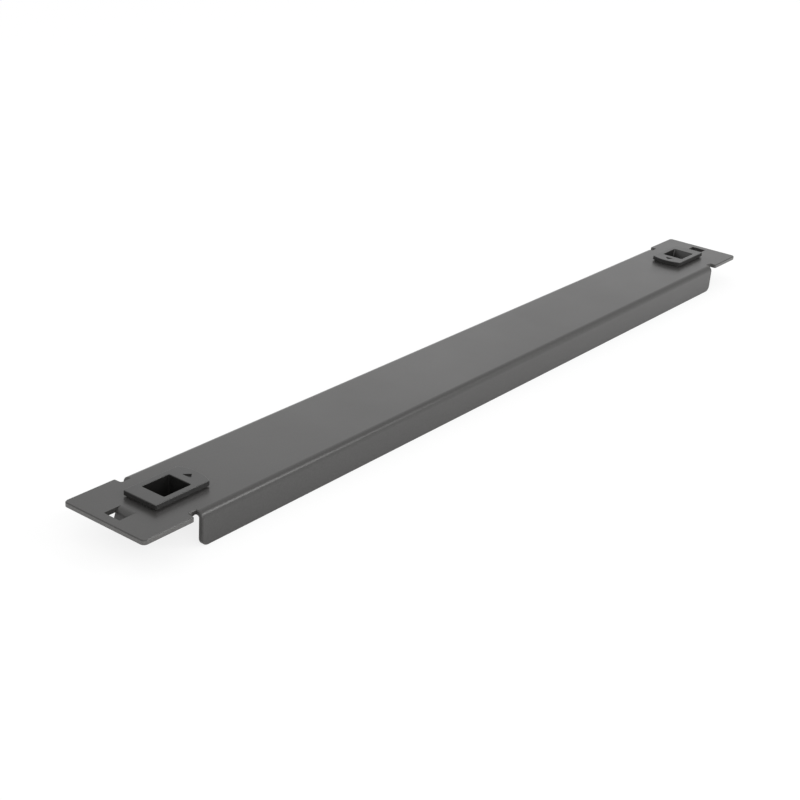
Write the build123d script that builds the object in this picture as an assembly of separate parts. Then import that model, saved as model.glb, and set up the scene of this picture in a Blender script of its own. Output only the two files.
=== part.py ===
"""A one-unit rack blanking panel: a folded steel sheet held in the rack by two sliding latches.

The panel lies on the edges of its flanges with its front face up, as a person would lay it
on a bench. X runs along the panel, Y across its height and Z out of its front face. The
origin is the middle of the rest plane.
"""
from build123d import *
import os
from math import cos, radians, sin

# The rack's rails, each with a square hole a little in from the panel's end
RAIL_HOLE_SETBACK = 8.95
RAIL_HOLE_TO_EDGE = 7.55
RAIL_THICKNESS = 2.0

# The folded sheet
PANEL_LENGTH = 483.0
PANEL_HEIGHT = 43.7
SHEET = 2.0
FLANGE_DEPTH = 15.0
BEND_INNER = 1.0
FLANGE_CORNER = 3.5
EDGE_CHAMFER = 0.4

# The ears, set off from the flanges by four relief notches
EAR_LENGTH = 25.8
EAR_CORNER = 2.0
EAR_INNER_CORNER = 1.0
RELIEF_WIDTH = 4.2
RELIEF_DEPTH = 3.7
RELIEF_CORNER = 0.8

# The locating lugs, lanced out of the ears and bent to the rear
LUG_OPENING_LENGTH = 8.3
LUG_OPENING_OUTER = 4.5
LUG_WIDTH = 8.1
LUG_SIDE_SLIT = 0.15
LUG_TIP_SLIT = 0.3
LUG_BEND_INNER = 1.1
LUG_BEND_ANGLE = 70.0
LUG_TIP_CORNER = 1.0

# The latch: a front plate with a deep finger pocket behind it
LATCH_SETBACK = 15.8
LATCH_TRAVEL = 4.0
POCKET_LENGTH = 14.4
POCKET_WIDTH = 12.2
POCKET_DEPTH = 12.3
POCKET_RAMP = 4.0
POCKET_CORNER = 0.6
WELL_WALL = 1.2
WELL_FLOOR = 1.2
WELL_CORNER = 1.2
PLATE_OUTER_RIM = 6.9
PLATE_INNER_RIM = 7.3
PLATE_SIDE_RIM = 2.75
PLATE_BULGE = 2.2
PLATE_THICKNESS = 2.1
PLATE_CORNER = 0.6
PLATE_ROUND = 0.3
BASE_HEIGHT = 0.7
BASE_INSET = 0.8

# The arrow sunk into the plate, which points the way the latch is pushed
ARROW_SETBACK = 3.6
ARROW_LENGTH = 2.8
ARROW_WIDTH = 5.0
ARROW_DEPTH = 0.7

# The slot that the latch slides in, and the snap catches that keep it there
SLOT_CLEARANCE = 0.2
CATCH_WIDTH = 7.0
CATCH_REACH = 0.9
CATCH_HEIGHT = 3.2
CATCH_LIP = 0.8
CATCH_CLEARANCE = 0.15

# The bolt that slides in behind the rail
BOLT_WIDTH = 9.0
BOLT_THICKNESS = 2.6
BOLT_ENGAGEMENT = 3.0
BOLT_CLEARANCE = 0.3
BOLT_CHAMFER = 1.2
BOLT_CORNER = 1.0

# Levels and stations that follow from the sizes above
FRONT_Z = FLANGE_DEPTH
REAR_Z = FRONT_Z - SHEET
BEND_OUTER = BEND_INNER + SHEET
EAR_INNER_X = PANEL_LENGTH / 2 - EAR_LENGTH
FLANGE_END_X = EAR_INNER_X - RELIEF_WIDTH
RELIEF_FLOOR_Y = PANEL_HEIGHT / 2 - RELIEF_DEPTH
RAIL_HOLE_X = PANEL_LENGTH / 2 - RAIL_HOLE_SETBACK
RAIL_EDGE_X = RAIL_HOLE_X - RAIL_HOLE_TO_EDGE
LUG_BEND_OUTER = LUG_BEND_INNER + SHEET
LUG_OPENING_END_X = RAIL_HOLE_X + LUG_OPENING_OUTER
LUG_ROOT_X = LUG_OPENING_END_X - LUG_OPENING_LENGTH
LATCH_X = RAIL_EDGE_X - LATCH_SETBACK
WELL_LENGTH = POCKET_LENGTH + 2 * WELL_WALL
WELL_WIDTH = POCKET_WIDTH + 2 * WELL_WALL
PLATE_WIDTH = POCKET_WIDTH + 2 * PLATE_SIDE_RIM
PLATE_BACK_Z = FRONT_Z + BASE_HEIGHT
PLATE_TOP_Z = PLATE_BACK_Z + PLATE_THICKNESS
POCKET_FLOOR_Z = PLATE_TOP_Z - POCKET_DEPTH
WELL_BOTTOM_Z = POCKET_FLOOR_Z - WELL_FLOOR
CATCH_TOP_Z = REAR_Z - CATCH_CLEARANCE
BOLT_TOP_Z = REAR_Z - RAIL_THICKNESS - BOLT_CLEARANCE
BOLT_TIP_X = RAIL_EDGE_X + BOLT_ENGAGEMENT


def both_ends(right_end):
    """The right-hand feature and the same one turned half round for the left-hand end."""
    return [right_end, Rotation(0, 0, 180) * right_end]


def box_between(low, high):
    """A box given by its lowest and highest corners."""
    size = [high[i] - low[i] for i in range(3)]
    centre = [(high[i] + low[i]) / 2 for i in range(3)]
    return Pos(*centre) * Box(*size)


def folded_channel():
    """The sheet's front face between its two long bends, with the flanges behind it."""
    outer = Pos(0, FRONT_Z / 2) * Rectangle(PANEL_HEIGHT, FRONT_Z)
    outer = fillet(outer.vertices().group_by(Axis.Y)[-1], BEND_OUTER)
    inner = Pos(0, REAR_Z / 2) * Rectangle(PANEL_HEIGHT - 2 * SHEET, REAR_Z)
    inner = fillet(inner.vertices().group_by(Axis.Y)[-1], BEND_INNER)
    channel = extrude(Plane.YZ * (outer - inner), amount=FLANGE_END_X, both=True)
    lower_corners = channel.edges().filter_by(Axis.Y).group_by(Axis.Z)[0]
    return fillet(lower_corners, FLANGE_CORNER)


def ear_blank():
    """The flat strip that runs past the flanges, and the two ears at its ends."""
    strip = Rectangle(PANEL_LENGTH, 2 * RELIEF_FLOOR_Y)
    outline = strip
    for ear in both_ends(Pos(EAR_INNER_X + EAR_LENGTH / 2, 0) * Rectangle(EAR_LENGTH, PANEL_HEIGHT)):
        outline += ear
    corners = outline.vertices().group_by(lambda vertex: round(abs(vertex.X), 3))
    outline = fillet(corners[-1], EAR_CORNER)
    inner = outline.vertices().filter_by(lambda vertex: abs(abs(vertex.X) - EAR_INNER_X) < SHEET / 2)
    ear_tips = inner.filter_by(lambda vertex: abs(vertex.Y) > RELIEF_FLOOR_Y + RELIEF_DEPTH / 2)
    notch_floors = inner.filter_by(lambda vertex: abs(vertex.Y) < RELIEF_FLOOR_Y + RELIEF_DEPTH / 2)
    outline = fillet(ear_tips, EAR_INNER_CORNER)
    floors = outline.vertices().filter_by(
        lambda vertex: any((vertex.center() - floor.center()).length < SHEET / 10 for floor in notch_floors))
    outline = fillet(floors, RELIEF_CORNER)
    return extrude(Pos(0, 0, REAR_Z) * outline, amount=SHEET)


def latch_slot():
    """The opening in the right-hand end of the sheet that the latch's well slides in."""
    half_width = WELL_WIDTH / 2 + SLOT_CLEARANCE
    inner_x = LATCH_X - WELL_LENGTH / 2 - LATCH_TRAVEL - SLOT_CLEARANCE
    outer_x = LATCH_X + WELL_LENGTH / 2 + SLOT_CLEARANCE
    slot = box_between((inner_x, -half_width, 0), (outer_x, half_width, FRONT_Z + SHEET))
    return fillet(slot.edges().filter_by(Axis.Z), WELL_CORNER)


def lug_opening():
    """The hole that the right-hand lug leaves in its ear."""
    half_width = LUG_WIDTH / 2 + LUG_SIDE_SLIT
    return box_between((LUG_ROOT_X, -half_width, 0), (LUG_OPENING_END_X, half_width, FRONT_Z + SHEET))


def lug():
    """The right-hand lug: as long as the sheet cut free for it, bent about the hole's inner edge."""
    angle = radians(LUG_BEND_ANGLE)
    bend_length = (LUG_BEND_INNER + SHEET / 2) * angle
    leg_length = LUG_OPENING_LENGTH - LUG_TIP_SLIT - bend_length
    centre = (LUG_ROOT_X, FRONT_Z - LUG_BEND_OUTER)
    outer = CenterArc(centre, LUG_BEND_OUTER, 90, -LUG_BEND_ANGLE)
    inner = CenterArc(centre, LUG_BEND_INNER, 90, -LUG_BEND_ANGLE)
    leg = Vector(cos(angle), -sin(angle)) * leg_length
    outer_leg = Line(outer @ 1, outer @ 1 + leg)
    inner_leg = Line(inner @ 1, inner @ 1 + leg)
    ends = [Line(outer @ 0, inner @ 0), Line(outer_leg @ 1, inner_leg @ 1)]
    profile = make_face([outer, outer_leg, inner, inner_leg] + ends)
    strip = extrude(Plane.XZ * profile, amount=LUG_WIDTH / 2, both=True)
    tip = strip.faces().sort_by(Axis.Z)[0]
    return fillet(tip.edges().sort_by(SortBy.LENGTH)[:2], LUG_TIP_CORNER)


def outline_edges(sheet):
    """The outer edges round each end of the sheet: ears, notches, bend ends and flange ends."""
    def is_outer(edge):
        centre = edge.center()
        on_front = centre.Z > FRONT_Z - EDGE_CHAMFER
        on_bend = edge.geom_type == GeomType.CIRCLE and abs(edge.radius - BEND_OUTER) < EDGE_CHAMFER
        on_flange = abs(centre.Y) > PANEL_HEIGHT / 2 - EDGE_CHAMFER and centre.Z < FRONT_Z - BEND_OUTER
        return abs(centre.X) > FLANGE_END_X / 2 and (on_front or on_bend or on_flange)

    return sheet.edges().filter_by(is_outer)


def panel():
    """The whole folded sheet, in one piece with its two lugs."""
    sheet = folded_channel() + ear_blank()
    sheet = chamfer(outline_edges(sheet), EDGE_CHAMFER)
    for opening in both_ends(latch_slot()) + both_ends(lug_opening()):
        sheet -= opening
    for tab in both_ends(lug()):
        sheet += tab
    return sheet


def plate_outline(inset):
    """The outline of the latch's plate, drawn in by an inset: straight outside, bowed inside."""
    half_width = PLATE_WIDTH / 2 - inset
    outer_x = LATCH_X + POCKET_LENGTH / 2 + PLATE_OUTER_RIM - inset
    inner_x = LATCH_X - POCKET_LENGTH / 2 - PLATE_INNER_RIM + inset
    straight = Polyline((inner_x, half_width), (outer_x, half_width), (outer_x, -half_width),
                        (inner_x, -half_width))
    bow = ThreePointArc(straight @ 1, (inner_x - PLATE_BULGE, 0), straight @ 0)
    outline = make_face([straight, bow])
    return fillet(outline.vertices(), PLATE_CORNER)


def latch_plate():
    """The plate that the finger rests on, raised off the sheet by a smaller base."""
    base = extrude(Pos(0, 0, FRONT_Z) * plate_outline(BASE_INSET), amount=BASE_HEIGHT)
    return base + extrude(Pos(0, 0, PLATE_BACK_Z) * plate_outline(0), amount=PLATE_THICKNESS)


def latch_well():
    """The box behind the plate, which passes through the slot in the sheet."""
    low = (LATCH_X - WELL_LENGTH / 2, -WELL_WIDTH / 2, WELL_BOTTOM_Z)
    high = (LATCH_X + WELL_LENGTH / 2, WELL_WIDTH / 2, FRONT_Z)
    well = box_between(low, high)
    return fillet(well.edges().filter_by(Axis.Z), WELL_CORNER)


def pocket():
    """The finger pocket: an upright wall to push against, and a sloping one that leads the finger in."""
    inner_x = LATCH_X - POCKET_LENGTH / 2
    outer_x = LATCH_X + POCKET_LENGTH / 2
    outline = Polyline((inner_x, POCKET_FLOOR_Z), (outer_x - POCKET_RAMP, POCKET_FLOOR_Z),
                       (outer_x, PLATE_TOP_Z), (inner_x, PLATE_TOP_Z), close=True)
    hollow = extrude(Plane.XZ * make_face(outline), amount=POCKET_WIDTH / 2, both=True)
    upright_edges = hollow.edges().group_by(Axis.Z)[1]
    return fillet(upright_edges, POCKET_CORNER)


def arrow():
    """The three-cornered recess between the pocket and the bowed end."""
    base_x = LATCH_X - POCKET_LENGTH / 2 - ARROW_SETBACK
    outline = Polyline((base_x, -ARROW_WIDTH / 2), (base_x, ARROW_WIDTH / 2),
                       (base_x - ARROW_LENGTH, 0), close=True)
    return extrude(Pos(0, 0, PLATE_TOP_Z - ARROW_DEPTH) * make_face(outline), amount=ARROW_DEPTH)


def catch():
    """The snap catch on the well's wall at +Y: it slopes to press in, and holds flat behind the sheet."""
    wall_y = WELL_WIDTH / 2
    reach_y = wall_y + SLOT_CLEARANCE + CATCH_REACH
    low_z = CATCH_TOP_Z - CATCH_HEIGHT
    outline = Polyline((wall_y - WELL_WALL / 2, low_z), (wall_y, low_z), (reach_y, CATCH_TOP_Z - CATCH_LIP),
                       (reach_y, CATCH_TOP_Z), (wall_y - WELL_WALL / 2, CATCH_TOP_Z), close=True)
    side = Plane.YZ.offset(LATCH_X - CATCH_WIDTH / 2) * make_face(outline)
    return extrude(side, amount=CATCH_WIDTH)


def bolt():
    """The flat bolt that reaches outward behind the rail, chamfered where it meets the rail."""
    root_x = LATCH_X + POCKET_LENGTH / 2 + WELL_WALL / 2
    low = (root_x, -BOLT_WIDTH / 2, BOLT_TOP_Z - BOLT_THICKNESS)
    high = (BOLT_TIP_X, BOLT_WIDTH / 2, BOLT_TOP_Z)
    bar = box_between(low, high)
    bar = chamfer(bar.edges().group_by(Axis.Z)[0].sort_by(Axis.X)[-1], BOLT_CHAMFER)
    return fillet(bar.edges().filter_by(Axis.Z).group_by(Axis.X)[-1], BOLT_CORNER)


def latch():
    """The right-hand latch, in its locked place."""
    body = latch_plate() + latch_well() - pocket()
    body = fillet(body.edges().group_by(Axis.Z)[-1], PLATE_ROUND)
    body -= arrow()
    body += catch()
    body += mirror(catch(), Plane.XZ)
    return body + bolt()


def build():
    """Every node by name."""
    right_latch, left_latch = both_ends(latch())
    return {"panel": panel(), "left_latch": left_latch, "right_latch": right_latch}


def main():
    os.makedirs("parts", exist_ok=True)
    for name, solid in build().items():
        export_step(solid, f"parts/{name}.step")


if __name__ == "__main__":
    main()
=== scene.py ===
"""The looks of a rack blanking panel: coated sheet, moulded latches, studio floor and light."""
from math import cos, radians, sin

import bpy
from mathutils import Matrix, Vector

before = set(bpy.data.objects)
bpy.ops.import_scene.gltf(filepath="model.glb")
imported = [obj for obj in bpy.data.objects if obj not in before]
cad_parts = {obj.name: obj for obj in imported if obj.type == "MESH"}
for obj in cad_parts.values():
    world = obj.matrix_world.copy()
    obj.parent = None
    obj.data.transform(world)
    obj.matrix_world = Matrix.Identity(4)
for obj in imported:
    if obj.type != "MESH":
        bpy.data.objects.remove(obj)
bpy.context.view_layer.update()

# The photograph's view, in degrees and metres: the camera looks at its aim from this far off
CAMERA_AZIMUTH = -54.07
CAMERA_ELEVATION = 24.03
CAMERA_ROLL = 4.21
CAMERA_DISTANCE = 0.718
CAMERA_AIM = (-0.0300, 0.0225, -0.0099)
CAMERA_LENS = 65.97

# Every finish is a grey that leans this far to the warm side
WARMTH = 0.03
# The middle range of a noise pattern, which is spread over a finish's own range
NOISE_FROM, NOISE_TO = 0.3, 0.7

# The powder coat: its grey on the faces, a lighter grey painted on the ears' upright edges as a
# painted highlight, and how far the greys vary
POWDER_GREY = 0.032
EAR_EDGE_HIGHLIGHT_GREY = 0.066
POWDER_VARIATION = 0.18
POWDER_ROUGHNESS = (0.28, 0.33)
# Its grain, orange peel and clouds in features to the metre, and its depths in metres
GRAIN_SCALE, GRAIN_DETAIL = 1800, 3
GRAIN_STRENGTH, GRAIN_DEPTH = 0.6, 0.000008
PEEL_SCALE, PEEL_DETAIL = 420, 1
PEEL_STRENGTH, PEEL_DEPTH = 0.5, 0.00001
CLOUD_SCALE, CLOUD_DETAIL = 28, 3

# Where the painted edge highlight goes: faces this near to upright, this far from the panel's
# middle and beyond the lugs; the lighter grey there is painted light, standing in for the light
# the ears' upright edges catch
UPRIGHT_BELOW = 0.6
EAR_FROM = 0.2135
LUG_END = 0.2385
LUG_SIDE = 0.0055

# The latches' black plastic, with its mould texture and the marks of its flow
PLASTIC_GREY = 0.010
PLASTIC_VARIATION = 0.2
PLASTIC_IOR = 1.58
PLASTIC_ROUGHNESS = (0.27, 0.32)
TEXTURE_SCALE, TEXTURE_DETAIL = 3200, 2
TEXTURE_STRENGTH, TEXTURE_DEPTH = 0.6, 0.000006
FLOW_SCALE, FLOW_DETAIL = 90, 2

# The floor: its size and its gap under the part in metres, and its own grey
FLOOR_SIZE = 40.0
FLOOR_GAP = 0.00005
FLOOR_GREY = 0.92
# How much of the floor's own shade, with the part's shadow, is seen; the rest is plain white
SHADE_SEEN = 0.18
SHADE_MIRRORED = 0.8

# The surround's dim side: its direction, the cosines where it begins and is full, and its level
DIM_SIDE = (0.890, -0.165, 0.424)
DIM_FROM, DIM_FULL = 0.86, 0.98
DIM_LEVEL = 0.72

# The lamps, each in a direction from the part, in metres and watts
LAMPS = {
    "key_lamp": {"towards": (0.49, -0.665, 0.563), "distance": 2.2,
                 "width": 0.6, "height": 0.8, "power": 11.5},
    "side_lamp": {"towards": (-0.52, -0.742, 0.423), "distance": 1.6,
                  "width": 1.4, "height": 1.4, "power": 10},
    "far_lamp": {"towards": (0.68, 0.60, 0.42), "distance": 3.0,
                 "width": 0.9, "height": 0.9, "power": 0.7},
}


def material(name):
    """A new node material, with its principled shader and its object coordinates."""
    made = bpy.data.materials.new(name)
    made.use_nodes = True
    nodes = made.node_tree.nodes
    place = nodes.new("ShaderNodeTexCoord")
    return made, nodes["Principled BSDF"], place.outputs["Object"]


def noise(made, place, scale, detail):
    """A noise pattern with so many features to the metre, read at the place given."""
    node = made.node_tree.nodes.new("ShaderNodeTexNoise")
    node.inputs["Scale"].default_value = scale
    node.inputs["Detail"].default_value = detail
    made.node_tree.links.new(place, node.inputs["Vector"])
    return node.outputs["Fac"]


def spread(made, pattern, low, high):
    """The pattern's middle range spread between two values."""
    node = made.node_tree.nodes.new("ShaderNodeMapRange")
    node.inputs["From Min"].default_value = NOISE_FROM
    node.inputs["From Max"].default_value = NOISE_TO
    node.inputs["To Min"].default_value = low
    node.inputs["To Max"].default_value = high
    made.node_tree.links.new(pattern, node.inputs["Value"])
    return node.outputs["Result"]


def warm(level):
    """A grey of this level that leans to the warm side, as a colour."""
    return (level * (1 + WARMTH), level, level * (1 - WARMTH), 1)


def grey(made, pattern, level, variation):
    """A warm grey that varies about its level with the pattern."""
    blend = made.node_tree.nodes.new("ShaderNodeMix")
    blend.data_type = "RGBA"
    blend.inputs["A"].default_value = warm(level * (1 - variation))
    blend.inputs["B"].default_value = warm(level * (1 + variation))
    made.node_tree.links.new(spread(made, pattern, 0, 1), blend.inputs["Factor"])
    return blend.outputs["Result"]


def arithmetic(made, operation, first, second):
    """A sum, product or comparison of two values, the second of which may be a plain number."""
    node = made.node_tree.nodes.new("ShaderNodeMath")
    node.operation = operation
    made.node_tree.links.new(first, node.inputs[0])
    if isinstance(second, float):
        node.inputs[1].default_value = second
    else:
        made.node_tree.links.new(second, node.inputs[1])
    return node.outputs["Value"]


def part_of(made, vector, axis):
    """The size of a vector along one axis, without its sign."""
    node = made.node_tree.nodes.new("ShaderNodeSeparateXYZ")
    made.node_tree.links.new(vector, node.inputs["Vector"])
    return arithmetic(made, "ABSOLUTE", node.outputs[axis], 0.0)


def ear_edge_highlight_mask(made, place):
    """One on the upright faces round the ears, where a lighter grey is painted as a highlight,
    and nought on their lugs and elsewhere.
    """
    along, across = part_of(made, place, "X"), part_of(made, place, "Y")
    facing_up = part_of(made, place.node.outputs["Normal"], "Z")
    upright = arithmetic(made, "LESS_THAN", facing_up, UPRIGHT_BELOW)
    on_ear = arithmetic(made, "GREATER_THAN", along, EAR_FROM)
    past_lug = arithmetic(made, "MAXIMUM", arithmetic(made, "GREATER_THAN", along, LUG_END),
                          arithmetic(made, "GREATER_THAN", across, LUG_SIDE))
    return arithmetic(made, "MULTIPLY", arithmetic(made, "MULTIPLY", upright, on_ear), past_lug)


def mixed(made, share, first, second):
    """Two colours mixed by a share."""
    blend = made.node_tree.nodes.new("ShaderNodeMix")
    blend.data_type = "RGBA"
    made.node_tree.links.new(share, blend.inputs["Factor"])
    made.node_tree.links.new(first, blend.inputs["A"])
    made.node_tree.links.new(second, blend.inputs["B"])
    return blend.outputs["Result"]


def bump(made, height, strength, depth, under=None):
    """A bump of the pattern's height, so many metres deep, on top of another bump if given."""
    node = made.node_tree.nodes.new("ShaderNodeBump")
    node.inputs["Strength"].default_value = strength
    node.inputs["Distance"].default_value = depth
    made.node_tree.links.new(height, node.inputs["Height"])
    if under is not None:
        made.node_tree.links.new(under, node.inputs["Normal"])
    return node.outputs["Normal"]


def powder_coat():
    """The sheet's finish: a satin powder coat with a fine even grain over a faint orange peel,
    with a painted highlight, a lighter grey, on the ears' upright edges.
    """
    made, shader, place = material("powder_coat")
    links = made.node_tree.links
    grain = noise(made, place, GRAIN_SCALE, GRAIN_DETAIL)
    peel = noise(made, place, PEEL_SCALE, PEEL_DETAIL)
    cloud = noise(made, place, CLOUD_SCALE, CLOUD_DETAIL)
    face = grey(made, grain, POWDER_GREY, POWDER_VARIATION)
    # The ears' upright edges get a lighter grey: a painted highlight for the light they catch
    painted_edge_highlight = grey(made, grain, EAR_EDGE_HIGHLIGHT_GREY, POWDER_VARIATION)
    links.new(mixed(made, ear_edge_highlight_mask(made, place), face, painted_edge_highlight), shader.inputs["Base Color"])
    links.new(spread(made, cloud, *POWDER_ROUGHNESS), shader.inputs["Roughness"])
    peeled = bump(made, peel, PEEL_STRENGTH, PEEL_DEPTH)
    links.new(bump(made, grain, GRAIN_STRENGTH, GRAIN_DEPTH, peeled), shader.inputs["Normal"])
    return made


def moulded_plastic():
    """The latches' finish: black plastic with the fine matt texture of a spark-eroded mould."""
    made, shader, place = material("moulded_plastic")
    links = made.node_tree.links
    texture = noise(made, place, TEXTURE_SCALE, TEXTURE_DETAIL)
    flow = noise(made, place, FLOW_SCALE, FLOW_DETAIL)
    shader.inputs["IOR"].default_value = PLASTIC_IOR
    links.new(grey(made, texture, PLASTIC_GREY, PLASTIC_VARIATION), shader.inputs["Base Color"])
    links.new(spread(made, flow, *PLASTIC_ROUGHNESS), shader.inputs["Roughness"])
    links.new(bump(made, texture, TEXTURE_STRENGTH, TEXTURE_DEPTH), shader.inputs["Normal"])
    return made


def finish_node(name, made):
    """Gives a node of the part its finish."""
    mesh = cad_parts[name].data
    mesh.materials.clear()
    mesh.materials.append(made)


def seen_white(made, shader):
    """The shader mixed with plain white: mostly white to the camera, less so where mirrored."""
    nodes, links = made.node_tree.nodes, made.node_tree.links
    path = nodes.new("ShaderNodeLightPath").outputs
    seen = arithmetic(made, "MULTIPLY", path["Is Camera Ray"], 1 - SHADE_SEEN)
    either = arithmetic(made, "MAXIMUM", path["Is Glossy Ray"], path["Is Transmission Ray"])
    mirrored = arithmetic(made, "MULTIPLY", either, 1 - SHADE_MIRRORED)
    white = nodes.new("ShaderNodeEmission")
    blend = nodes.new("ShaderNodeMixShader")
    links.new(arithmetic(made, "MAXIMUM", seen, mirrored), blend.inputs["Fac"])
    links.new(shader, blend.inputs[1])
    links.new(white.outputs["Emission"], blend.inputs[2])
    return blend.outputs["Shader"]


def matt_floor():
    """The floor's finish: a matt pale grey, seen as white with the part's shadow on it."""
    made = bpy.data.materials.new("floor")
    made.use_nodes = True
    nodes = made.node_tree.nodes
    nodes.remove(nodes["Principled BSDF"])
    matt = nodes.new("ShaderNodeBsdfDiffuse")
    matt.inputs["Color"].default_value = (FLOOR_GREY, FLOOR_GREY, FLOOR_GREY, 1)
    surface = nodes["Material Output"].inputs["Surface"]
    made.node_tree.links.new(seen_white(made, matt.outputs["BSDF"]), surface)
    return made


def floor():
    """A plain square floor just under the part, wide enough to reach the horizon."""
    half = FLOOR_SIZE / 2
    corners = [(x, y, -FLOOR_GAP) for x, y in ((-half, -half), (half, -half),
                                               (half, half), (-half, half))]
    mesh = bpy.data.meshes.new("floor")
    mesh.from_pydata(corners, [], [(0, 1, 2, 3)])
    mesh.materials.append(matt_floor())
    plane = bpy.data.objects.new("floor", mesh)
    bpy.context.scene.collection.objects.link(plane)


def surround():
    """A white surround that falls off to a dimmer level about one side."""
    world = bpy.data.worlds.new("surround")
    bpy.context.scene.world = world
    world.use_nodes = True
    nodes, links = world.node_tree.nodes, world.node_tree.links
    nodes["Background"].inputs["Color"].default_value = (1, 1, 1, 1)
    place = nodes.new("ShaderNodeTexCoord")
    towards = nodes.new("ShaderNodeVectorMath")
    towards.operation = "DOT_PRODUCT"
    links.new(place.outputs["Generated"], towards.inputs[0])
    towards.inputs[1].default_value = DIM_SIDE
    level = nodes.new("ShaderNodeMapRange")
    level.interpolation_type = "SMOOTHSTEP"
    level.inputs["From Min"].default_value = DIM_FROM
    level.inputs["From Max"].default_value = DIM_FULL
    level.inputs["To Min"].default_value = 1
    level.inputs["To Max"].default_value = DIM_LEVEL
    links.new(towards.outputs["Value"], level.inputs["Value"])
    links.new(level.outputs["Result"], nodes["Background"].inputs["Strength"])


def softbox(name, towards, distance, width, height, power):
    """An upright oblong lamp at a distance from the part in a direction, facing the part."""
    data = bpy.data.lights.new(name, "AREA")
    data.shape = "RECTANGLE"
    data.size = width
    data.size_y = height
    data.energy = power
    lamp = bpy.data.objects.new(name, data)
    direction = Vector(towards).normalized()
    lamp.location = direction * distance
    lamp.rotation_mode = "QUATERNION"
    lamp.rotation_quaternion = direction.to_track_quat("Z", "Y")
    bpy.context.scene.collection.objects.link(lamp)


def camera():
    """The photograph's view: a turn and a tilt about the aim point, and a slight roll."""
    azimuth, elevation = radians(CAMERA_AZIMUTH), radians(CAMERA_ELEVATION)
    back = Vector((sin(azimuth) * cos(elevation), -cos(azimuth) * cos(elevation), sin(elevation)))
    right = Vector((0, 0, 1)).cross(back).normalized()
    level = Matrix((right, back.cross(right), back)).transposed()
    rolled = level @ Matrix.Rotation(radians(CAMERA_ROLL), 3, "Z")
    place = Vector(CAMERA_AIM) + back * CAMERA_DISTANCE
    data = bpy.data.cameras.new("camera")
    data.lens = CAMERA_LENS
    made = bpy.data.objects.new("camera", data)
    made.matrix_world = Matrix.Translation(place) @ rolled.to_4x4()
    bpy.context.scene.collection.objects.link(made)
    bpy.context.scene.camera = made


bpy.context.scene.view_settings.view_transform = "Standard"
camera()
finish_node("panel", powder_coat())
plastic = moulded_plastic()
finish_node("left_latch", plastic)
finish_node("right_latch", plastic)
floor()
surround()
for name, lamp in LAMPS.items():
    softbox(name, **lamp)
